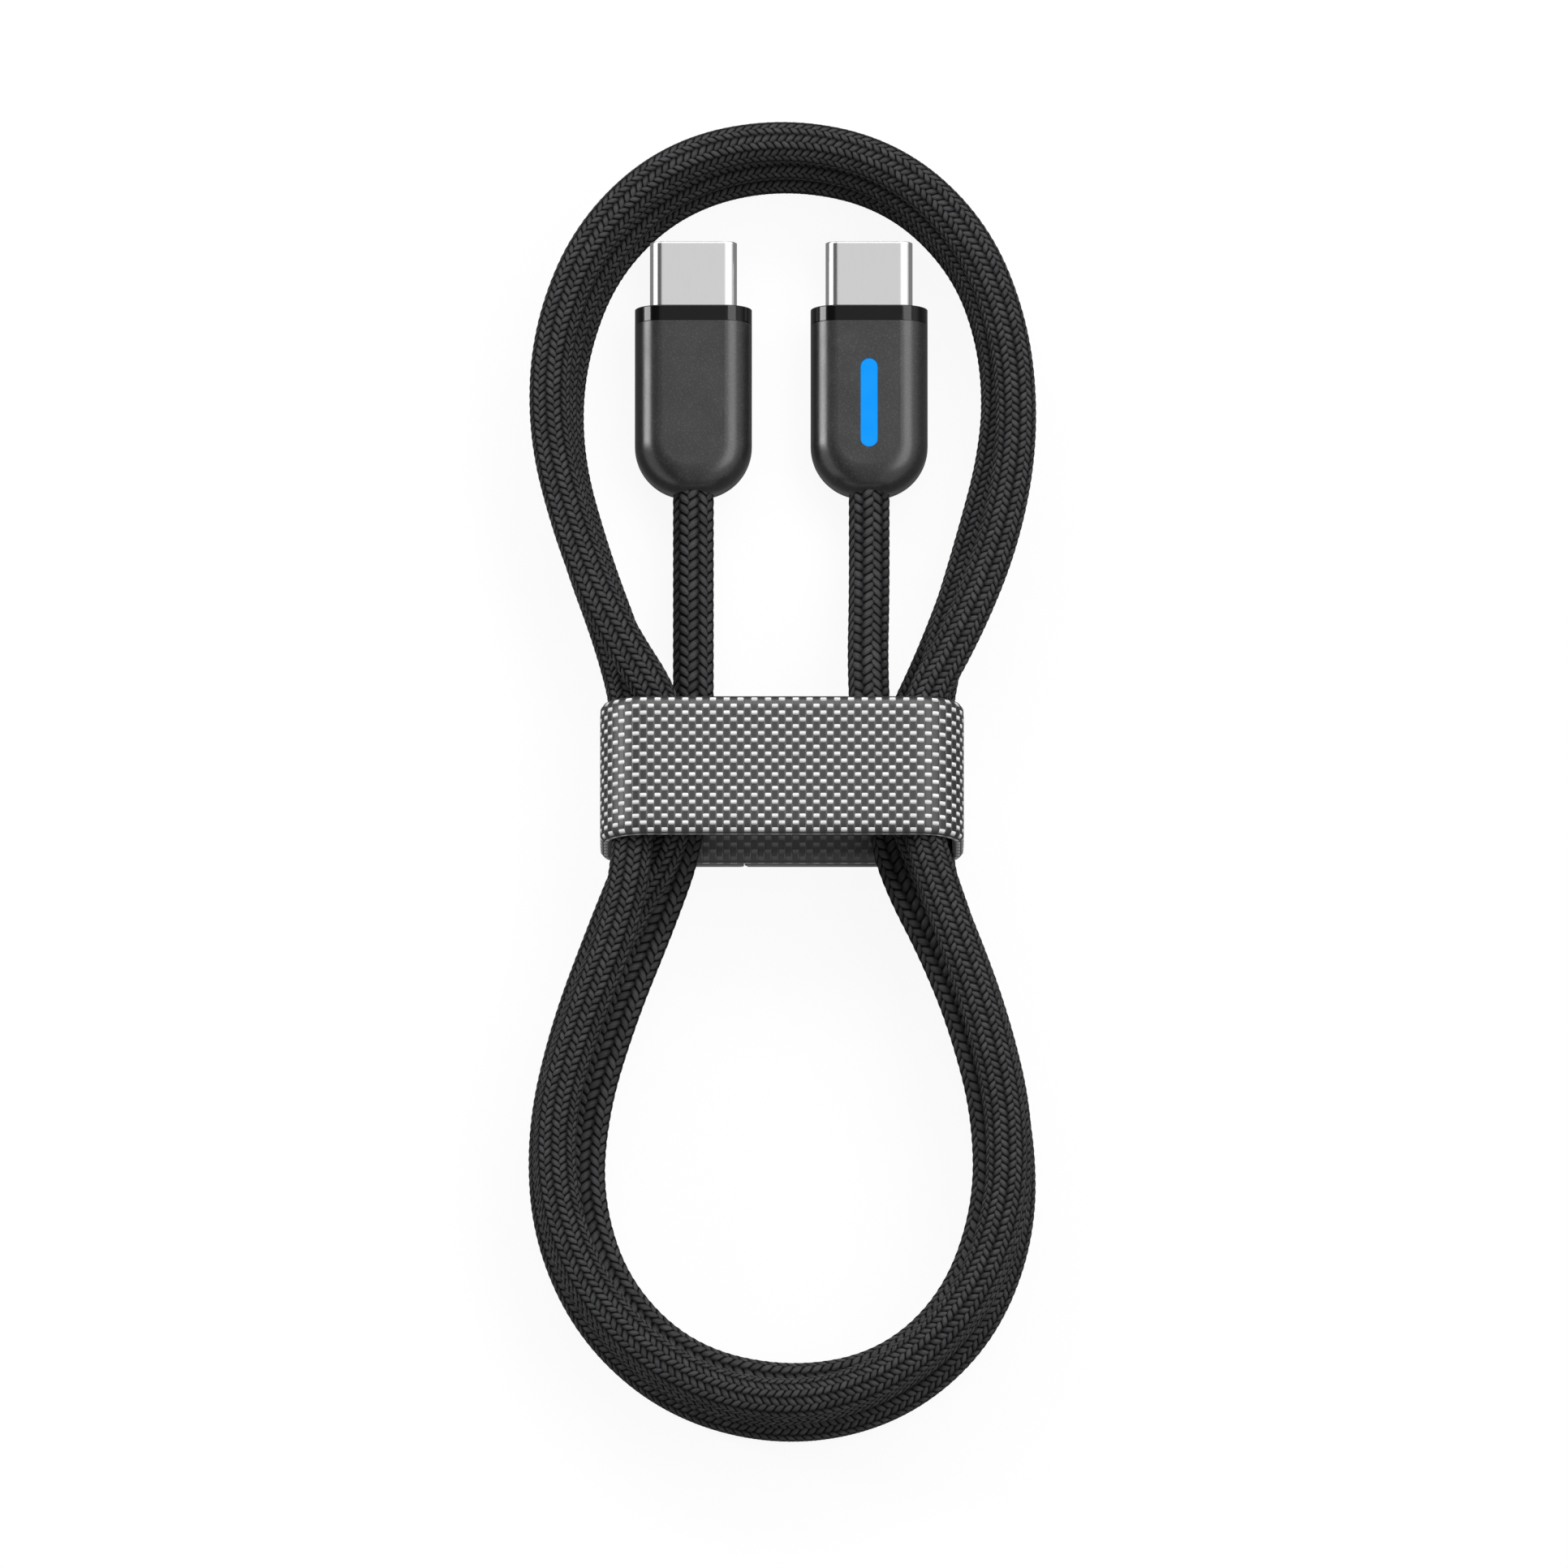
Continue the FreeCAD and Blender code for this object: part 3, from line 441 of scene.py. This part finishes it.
def plain_finish(name, color, roughness, edge=0.05, **sockets):
    """One colour with faint clouds; the edge is a radius in millimetres."""
    made, n, shader = surface(name, color=color, roughness=roughness, **sockets)
    place = n.add("TexCoord").outputs["Object"]
    cloud = n.noise(place, 900.0, 4.0)
    variation = 0.12
    dark = tuple(c * (1 - variation) for c in color)
    light = tuple(min(1.0, c * (1 + variation)) for c in color)
    n.join(n.mix(cloud, dark, light), shader["Base Color"])
    n.join(n.range(cloud, 0.3, 0.7, max(0.02, roughness - 0.05), roughness + 0.05), shader["Roughness"])
    n.join(n.bump(cloud, 0.000004, 0.4, n.rounded(edge * MM)), shader["Normal"])
    return made


def lit_bar_finish(name):
    """A blue light guide that glows evenly."""
    made, n, shader = surface(name, color=(0.0, 0.02, 0.06), roughness=0.45, Specular_IOR_Level=0.1)
    place = n.add("TexCoord").outputs["Object"]
    cloud = n.noise(place, 500.0, 2.0)
    n.join(n.mix(cloud, (0.0, 0.290, 0.96), (0.0, 0.325, 1.0)), shader["Emission Color"])
    shader["Emission Strength"].default_value = 0.95
    n.join(n.range(cloud, 0.3, 0.7, 0.3, 0.4), shader["Roughness"])
    return made


FINE_COLUMNS = 16
COARSE_COLUMNS = 12
FINE_BRAID = braid_finish("fine_braid", FINE_COLUMNS)
COARSE_BRAID = braid_finish("coarse_braid", COARSE_COLUMNS)
STRAP_WEBBING = webbing_finish("strap_webbing", 0.050, 0.017, 0.20, 0.70)
STRAP_LINING = webbing_finish("strap_lining", 0.040, 0.030, 0.055, 0.110)
STRAP_EDGE = webbing_finish("strap_edge", 0.26, 0.20, 0.40, 0.60)
FINISHES = {
    "shell": metal_finish("nickel_shell", (0.92, 0.92, 0.92), 0.14, edge=0.30),
    "contact_carrier": plain_finish("black_insulator", (0.020, 0.020, 0.022), 0.42),
    "contacts_top": metal_finish("gold_contact", (0.85, 0.60, 0.25), 0.25),
    "contacts_bottom": metal_finish("gold_contact_lower", (0.85, 0.60, 0.25), 0.25),
    "latch_spring": metal_finish("latch_steel", (0.55, 0.55, 0.54), 0.3),
    "ground_springs": metal_finish("ground_spring_steel", (0.55, 0.55, 0.54), 0.3),
    "circuit_board": plain_finish("solder_mask", (0.015, 0.14, 0.06), 0.35),
    "board_parts": plain_finish("chip_package", (0.03, 0.03, 0.032), 0.5),
    "wires": plain_finish("core_insulation", (0.45, 0.07, 0.05), 0.45),
    "crimp_ferrule": metal_finish("crimp_metal", (0.60, 0.52, 0.34), 0.35),
    "inner_mould": plain_finish("inner_mould", (0.70, 0.69, 0.64), 0.55),
    "housing": moulded_finish("grip_housing", (0.012, 0.012, 0.012), (0.07, 0.07, 0.07), 0.30, 0.12),
    "front_bezel": plain_finish("gloss_bezel", (0.002, 0.002, 0.002), 0.07, edge=0.15,
                                Specular_IOR_Level=0.30),
    "light_bar": lit_bar_finish("lit_bar"),
    "indicator_leds": plain_finish("led_lens", (0.85, 0.84, 0.72), 0.2),
    "strap_loop_patch": plain_finish("loop_pile", (0.020, 0.020, 0.021), 0.9, Sheen_Weight=0.3),
    "strap_hook_patch": plain_finish("hook_tape", (0.030, 0.030, 0.031), 0.5),
}


def paint(thing, finish):
    """Give a solid of the frame its one finish."""
    thing.data.materials.clear()
    thing.data.materials.append(finish)


for name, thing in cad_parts.items():
    part = name.replace("left_plug_", "").replace("right_plug_", "")
    if part in FINISHES:
        paint(thing, FINISHES[part])


# Cord

CORD_DIAMETER = 3.90 * MM
BRAID_RELIEF = 0.10 * MM
FINE_PICK = 0.77 * MM
COARSE_PICK = 1.00 * MM
# Rings to a pick, and spokes to a column
FINENESS = 4

# Points of each length of the cord, from the left plug to the right one, in millimetres
ROUTES = {
    "cord_left_leg": [
        (-8.4, 31.0, 3.25), (-8.4, 25.0, 3.25), (-8.4, 18.5, 3.4), (-8.4, 11.5, 4.0), (-8.4, 5.0, 4.2),
        (-8.8, 0.0, 4.2),
    ],
    "cord_lower_pass_1": [
        (-8.8, 0.0, 4.2), (-9.2, -5.0, 4.2), (-12.0, -13.0, 4.2), (-15.5, -21.7, 4.2),
        (-18.3, -31.0, 4.2), (-18.9, -40.0, 4.2), (-16.0, -49.0, 4.3), (-9.1, -55.8, 4.5),
        (0.6, -58.1, 4.6), (9.9, -56.4, 4.7), (16.7, -50.2, 4.8), (20.0, -41.0, 5.2), (19.9, -31.8, 5.4),
        (17.6, -23.0, 5.8), (14.8, -16.0, 5.8), (11.5, -9.5, 5.8), (9.9, -4.0, 4.85), (10.4, 0.0, 4.55),
    ],
    "cord_upper_pass_1": [
        (10.4, 0.0, 4.55), (11.0, 5.0, 4.2), (14.7, 13.0, 3.4), (18.2, 23.0, 1.95), (20.8, 33.0, 1.95),
        (20.8, 43.0, 1.95), (17.6, 52.0, 1.95), (10.3, 58.8, 1.95), (0.0, 60.9, 1.95),
        (-9.8, 58.5, 1.95), (-17.0, 51.8, 1.95), (-20.5, 42.5, 1.95), (-20.9, 33.0, 1.95),
        (-18.2, 23.0, 1.95), (-14.8, 13.5, 3.2), (-12.2, 5.0, 4.2), (-12.6, 0.0, 4.2),
    ],
    "cord_lower_pass_2": [
        (-12.6, 0.0, 4.2), (-13.0, -5.0, 4.2), (-16.3, -13.0, 3.5), (-20.2, -23.3, 1.95),
        (-22.3, -33.3, 1.95), (-21.6, -43.3, 1.95), (-17.3, -52.3, 1.95), (-9.6, -58.8, 1.95),
        (0.5, -61.3, 1.95), (10.4, -59.2, 1.95), (18.1, -52.7, 1.95), (22.0, -43.3, 1.95),
        (22.1, -33.3, 1.95), (19.6, -23.5, 1.95), (15.8, -13.5, 2.7), (13.9, -5.0, 4.5),
        (13.9, 0.0, 6.1),
    ],
    "cord_upper_pass_2": [
        (13.9, 0.0, 6.1), (13.9, 5.0, 7.7), (15.4, 13.5, 7.0), (18.2, 23.0, 5.85), (20.8, 33.0, 5.85),
        (20.9, 43.0, 5.85), (17.6, 52.2, 5.85), (9.9, 59.3, 5.85), (-0.3, 61.4, 5.85),
        (-10.2, 58.8, 5.85), (-17.5, 51.8, 5.85), (-21.2, 42.5, 5.85), (-21.5, 33.0, 5.85),
        (-19.2, 23.0, 5.9), (-15.8, 13.5, 6.7), (-14.05, 6.0, 8.3), (-14.0, 0.0, 9.9),
    ],
    "cord_lower_pass_3": [
        (-14.0, 0.0, 9.9), (-13.9, -6.0, 11.5), (-15.2, -14.5, 11.4), (-18.9, -23.8, 10.6),
        (-21.6, -33.0, 10.3), (-21.1, -42.8, 10.5), (-16.9, -52.0, 10.8), (-9.4, -58.6, 11.0),
        (0.2, -61.1, 11.3), (9.6, -58.9, 11.6), (17.3, -52.3, 12.0), (21.1, -43.0, 12.3),
        (21.3, -33.2, 12.6), (19.1, -23.5, 12.9), (15.8, -14.0, 12.9), (12.9, -5.0, 11.75),
        (12.6, 0.0, 11.8),
    ],
    "cord_upper_pass_3": [
        (12.6, 0.0, 11.8), (12.3, 5.0, 11.85), (17.2, 14.0, 11.0), (20.8, 23.5, 10.0), (22.4, 33.3, 9.75),
        (21.6, 43.5, 9.75), (17.8, 53.0, 9.75), (10.2, 59.9, 9.75), (0.0, 62.1, 9.75),
        (-10.2, 59.9, 9.75), (-17.8, 53.0, 9.75), (-21.7, 43.5, 9.75), (-22.2, 33.5, 9.75),
        (-19.8, 23.7, 10.2), (-16.4, 14.8, 11.3), (-10.4, 5.4, 11.3), (-10.2, 0.0, 9.9),
    ],
    "cord_lower_pass_4": [
        (-10.2, 0.0, 9.9), (-10.0, -5.4, 8.5), (-15.0, -13.4, 7.5), (-19.2, -22.7, 6.6),
        (-21.8, -32.3, 6.5), (-21.5, -42.0, 6.7), (-17.6, -51.0, 7.0), (-10.4, -57.9, 7.2),
        (-1.2, -60.9, 7.5), (8.8, -59.0, 7.8), (17.1, -52.5, 8.2), (21.5, -43.0, 8.4),
        (21.9, -33.2, 8.8), (19.6, -23.3, 9.1), (16.1, -13.8, 9.1), (12.4, -5.0, 8.15),
        (10.4, 0.0, 8.35),
    ],
    "cord_right_leg": [
        (10.4, 0.0, 8.35), (8.4, 5.0, 8.55), (8.1, 11.5, 6.8), (8.26, 18.5, 4.4), (8.26, 25.0, 3.25),
        (8.26, 31.0, 3.25),
    ],
}


def route_line(name, points):
    """The smooth line of a route, read from a NURBS curve that has its points as controls."""
    curve = bpy.data.curves.new(name + "_line", "CURVE")
    curve.dimensions = "3D"
    curve.resolution_u = 24
    spline = curve.splines.new("NURBS")
    spline.points.add(len(points) - 1)
    for knot, (x, y, z) in zip(spline.points, points):
        knot.co = (x * MM, y * MM, z * MM, 1)
    spline.order_u = 3
    spline.use_endpoint_u = True
    holder = bpy.data.objects.new(name + "_line", curve)
    bpy.context.scene.collection.objects.link(holder)
    read = bpy.data.meshes.new_from_object(holder)
    line = np.array([vertex.co[:] for vertex in read.vertices])
    bpy.data.objects.remove(holder)
    bpy.data.meshes.remove(read)
    return line


def even_points(line, count):
    """Points at even distances along a line, with its length."""
    steps = np.linalg.norm(np.diff(line, axis=0), axis=1)
    reach = np.concatenate([[0], np.cumsum(steps)])
    at = np.linspace(0, reach[-1], count)
    return np.stack([np.interp(at, reach, line[:, k]) for k in range(3)], axis=1), reach[-1]


def carried_frames(path):
    """A pair of side directions at every point, carried along the path without turning about it."""
    heading = np.gradient(path, axis=0)
    heading /= np.linalg.norm(heading, axis=1)[:, None]
    side = np.cross(heading[0], (0, 0, 1))
    side /= np.linalg.norm(side)
    sides = [side]
    for k in range(1, len(path)):
        side = sides[-1] - heading[k] * np.dot(sides[-1], heading[k])
        sides.append(side / np.linalg.norm(side))
    sides = np.array(sides)
    return heading, sides, np.cross(heading, sides)


def braided_cord(node, columns, pitch, finish):
    """A closed tube with the braid's picks raised a little and its own braid map; gives its length."""
    name = node.replace("cord", "braided")
    line = route_line(name, ROUTES[node])
    _, length = even_points(line, 10)
    picks = round(length / pitch)
    rings = picks * FINENESS + 1
    path, _ = even_points(line, rings)
    heading, sides, ups = carried_frames(path)
    spokes = columns * FINENESS
    turn = np.arange(spokes) / spokes
    angle = 2 * math.pi * (turn + 0.5 / columns)
    along = np.arange(rings)[:, None] / FINENESS
    height = np.zeros((rings, spokes))
    for step in (0, -1, 1):
        column = np.floor(turn * columns) + step
        across = turn * columns - column - 0.5
        odd = np.mod(column, 2)
        phase = along + 0.5 * odd + SLANT * (2 * odd - 1) * across
        side = np.abs(2 * (phase - np.floor(phase)) - 1) ** SIDE_FALL
        height = np.maximum(height, 1 - side - (np.abs(across) / PICK_REACH) ** TIP_FALL)
    radius = CORD_DIAMETER / 2 - BRAID_RELIEF + BRAID_RELIEF * height
    ring = (np.cos(angle)[None, :, None] * sides[:, None, :] + np.sin(angle)[None, :, None] * ups[:, None, :])
    verts = (path[:, None, :] + ring * radius[:, :, None]).reshape(-1, 3)
    verts = np.concatenate([verts, path[:1], path[-1:]])
    faces = []
    for r in range(rings - 1):
        low = r * spokes
        high = low + spokes
        for s in range(spokes):
            t = (s + 1) % spokes
            faces.append((low + s, low + t, high + t, high + s))
    first_cap = len(faces)
    start, end = rings * spokes, rings * spokes + 1
    last = (rings - 1) * spokes
    for s in range(spokes):
        t = (s + 1) % spokes
        faces.append((start, t, s))
    for s in range(spokes):
        t = (s + 1) % spokes
        faces.append((end, last + s, last + t))
    mesh = bpy.data.meshes.new(name)
    mesh.from_pydata(verts.tolist(), [], faces)
    layer = mesh.uv_layers.new(name="braid")
    uv = np.zeros((len(mesh.loops), 2))
    r = np.repeat(np.arange(rings - 1), spokes)
    s = np.tile(np.arange(spokes), rings - 1)
    corners = [np.stack([(s + a) / spokes, (r + b) / FINENESS], axis=1)
               for a, b in ((0, 0), (1, 0), (1, 1), (0, 1))]
    uv[:first_cap * 4] = np.stack(corners, axis=1).reshape(-1, 2)
    layer.data.foreach_set("uv", uv.ravel())
    mesh.polygons.foreach_set("use_smooth", [True] * len(mesh.polygons))
    mesh.materials.append(finish)
    cord = bpy.data.objects.new(name, mesh)
    cord.visible_glossy = False
    bpy.context.scene.collection.objects.link(cord)
    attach(cord, "cable")
    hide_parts(node)
    return length


# The legs and the lower loop's inner strand look more coarsely braided than the rest
total = 0
for name in ROUTES:
    if "leg" in name or name == "cord_lower_pass_1":
        length = braided_cord(name, COARSE_COLUMNS, COARSE_PICK, COARSE_BRAID)
    else:
        length = braided_cord(name, FINE_COLUMNS, FINE_PICK, FINE_BRAID)
    total = total + length
    print("%s: %.1f mm" % (name, length / MM))
print("cord in all: %.0f mm" % (total / MM))


# Strap: outer sizes in millimetres, and the thickness of the fastened end that the band stands on

STRAP_LENGTH = 34.40
STRAP_HEIGHT = 13.90
STRAP_WIDTH = 13.30
STRAP_THICKNESS = 1.10
STRAP_CORNER = 3.60
STRAP_TOP_CORNER = 4.50
STRAP_LIFT = 1.10
FLOAT_PITCH = 1.31 * MM
FLOAT_ROWS = 20.0


def band_outline(length, height, corner, top_corner, bottom, lead):
    """The strap's middle line round its loop, as evenly spaced points that start at the top's middle."""
    points = []
    half = length / 2
    top = bottom + height
    turns = 10
    corners = [(1, top, top_corner, 90), (1, bottom, corner, 0), (-1, bottom, corner, -90),
               (-1, top, top_corner, -180)]
    points.append((0, top))
    for side, level, bend, start in corners:
        x = side * (half - bend)
        z = level - bend if level == top else level + bend
        for k in range(turns + 1):
            a = math.radians(start - 90 * k / turns)
            points.append((x + bend * math.cos(a), z + bend * math.sin(a)))
    line = [Vector((x, 0, z)) for x, z in points] + [Vector((0, 0, top))]
    dense = []
    for a, b in zip(line, line[1:]):
        pieces = max(1, int((b - a).length / lead))
        dense += [a.lerp(b, k / pieces) for k in range(pieces)]
    return dense


def webbing_band(name):
    """The strap's closed band, with rounded edges and a webbing map."""
    half = STRAP_THICKNESS / 2
    loop = band_outline((STRAP_LENGTH - STRAP_THICKNESS) * MM, (STRAP_HEIGHT - STRAP_THICKNESS) * MM,
                        (STRAP_CORNER - half) * MM, (STRAP_TOP_CORNER - half) * MM,
                        (STRAP_LIFT + half) * MM, 0.5 * MM)
    width = STRAP_WIDTH * MM
    half_thick = half * MM
    bm = bmesh.new()
    uv = bm.loops.layers.uv.new("webbing")
    # the section as shares of the width and of half the thickness, and then its long sides divided
    edge = 0.35
    section = [(-0.5, -edge), (-0.5, edge), (-0.47, 0.92), (-0.42, 1.0), (0.42, 1.0), (0.47, 0.92),
               (0.5, edge), (0.5, -edge), (0.47, -0.92), (0.42, -1.0), (-0.42, -1.0), (-0.47, -0.92)]
    fine = []
    for (y0, t0), (y1, t1) in zip(section, section[1:] + section[:1]):
        pieces = 14 if abs(y1 - y0) > 0.5 else 1
        fine += [(y0 + (y1 - y0) * k / pieces, t0 + (t1 - t0) * k / pieces) for k in range(pieces)]
    count = len(loop)
    reach = [0.0]
    for k in range(count):
        reach.append(reach[-1] + (loop[(k + 1) % count] - loop[k]).length)
    middle = Vector((0, 0, 8 * MM))
    rows = []
    for k in range(count):
        ahead = (loop[(k + 1) % count] - loop[k - 1]).normalized()
        out = Vector((-ahead.z, 0, ahead.x))
        if out.dot(loop[k] - middle) < 0:
            out = -out
        rows.append([bm.verts.new(loop[k] + Vector((0, y * width, 0)) + out * (t * half_thick))
                     for y, t in fine])
    # a whole number of floats round the loop
    floats = round(reach[-1] / FLOAT_PITCH)
    for k in range(count):
        nxt = (k + 1) % count
        for j in range(len(fine)):
            jn = (j + 1) % len(fine)
            face = bm.faces.new((rows[k][j], rows[nxt][j], rows[nxt][jn], rows[k][jn]))
            face.smooth = True
            y = (fine[j][0] + fine[jn][0]) / 2
            t = (fine[j][1] + fine[jn][1]) / 2
            on_edge = abs(y) > 0.49
            face.material_index = 2 if on_edge else 1 if t < 0 else 0
            for corner, (kk, jj) in zip(face.loops, ((k, j), (k + 1, j), (k + 1, jn), (k, jn))):
                level = 0.5 + 0.45 * fine[jj][1] if on_edge else (fine[jj][0] + 0.5) * FLOAT_ROWS
                corner[uv].uv = (reach[kk] / reach[-1] * floats, level)
    bmesh.ops.recalc_face_normals(bm, faces=bm.faces)
    mesh = bpy.data.meshes.new(name)
    bm.to_mesh(mesh)
    bm.free()
    for finish in (STRAP_WEBBING, STRAP_LINING, STRAP_EDGE):
        mesh.materials.append(finish)
    band = bpy.data.objects.new(name, mesh)
    bpy.context.scene.collection.objects.link(band)
    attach(band, "cable")
    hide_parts("strap_band")


webbing_band("strap_webbing_band")

tail_finish = plain_finish("strap_underside", (0.190, 0.187, 0.184), 0.8, Sheen_Weight=0.2)
for name in ("strap_tail", "strap_tab"):
    paint(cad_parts[name], tail_finish)


# The lamps leave out the bare shells, where their reflections have ragged edges, so that the
# shells mirror the studio's bands alone

unlit = bpy.data.collections.new("out_of_the_lamps")
for side in ("left", "right"):
    unlit.objects.link(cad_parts[side + "_plug_shell"])
for member in unlit.collection_objects:
    member.light_linking.link_state = "EXCLUDE"
for lamp in LAMPS:
    lamp.light_linking.receiver_collection = unlit


# Table

def pale_table():
    """A table that is nearly plain white to the camera, grey in gloss and matt to all other light."""
    bm = bmesh.new()
    bmesh.ops.create_grid(bm, x_segments=1, y_segments=1, size=3.0)
    mesh = bpy.data.meshes.new("table")
    bm.to_mesh(mesh)
    bm.free()
    made = bpy.data.materials.new("pale_table")
    made.use_nodes = True
    n = Nodes(made.node_tree)
    made.node_tree.nodes.clear()
    white = n.add("Emission")
    white.inputs["Strength"].default_value = 1.0
    grey = n.add("Emission")
    grey.inputs["Color"].default_value = (0.22, 0.22, 0.22, 1)
    matt = n.add("BsdfDiffuse")
    matt.inputs["Color"].default_value = (0.88, 0.88, 0.88, 1)
    path = n.add("LightPath")
    shown = n.add("MixShader")
    n.join(n.math("MULTIPLY", path.outputs["Is Camera Ray"], 0.92), shown.inputs["Fac"])
    n.join(matt.outputs[0], shown.inputs[1])
    n.join(white.outputs[0], shown.inputs[2])
    mirrored = n.add("MixShader")
    n.join(path.outputs["Is Glossy Ray"], mirrored.inputs["Fac"])
    n.join(shown.outputs[0], mirrored.inputs[1])
    n.join(grey.outputs[0], mirrored.inputs[2])
    out = n.add("OutputMaterial")
    n.join(mirrored.outputs[0], out.inputs["Surface"])
    mesh.materials.append(made)
    table = bpy.data.objects.new("table", mesh)
    table.location = (0, 0, -0.02 * MM)
    bpy.context.scene.collection.objects.link(table)


pale_table()
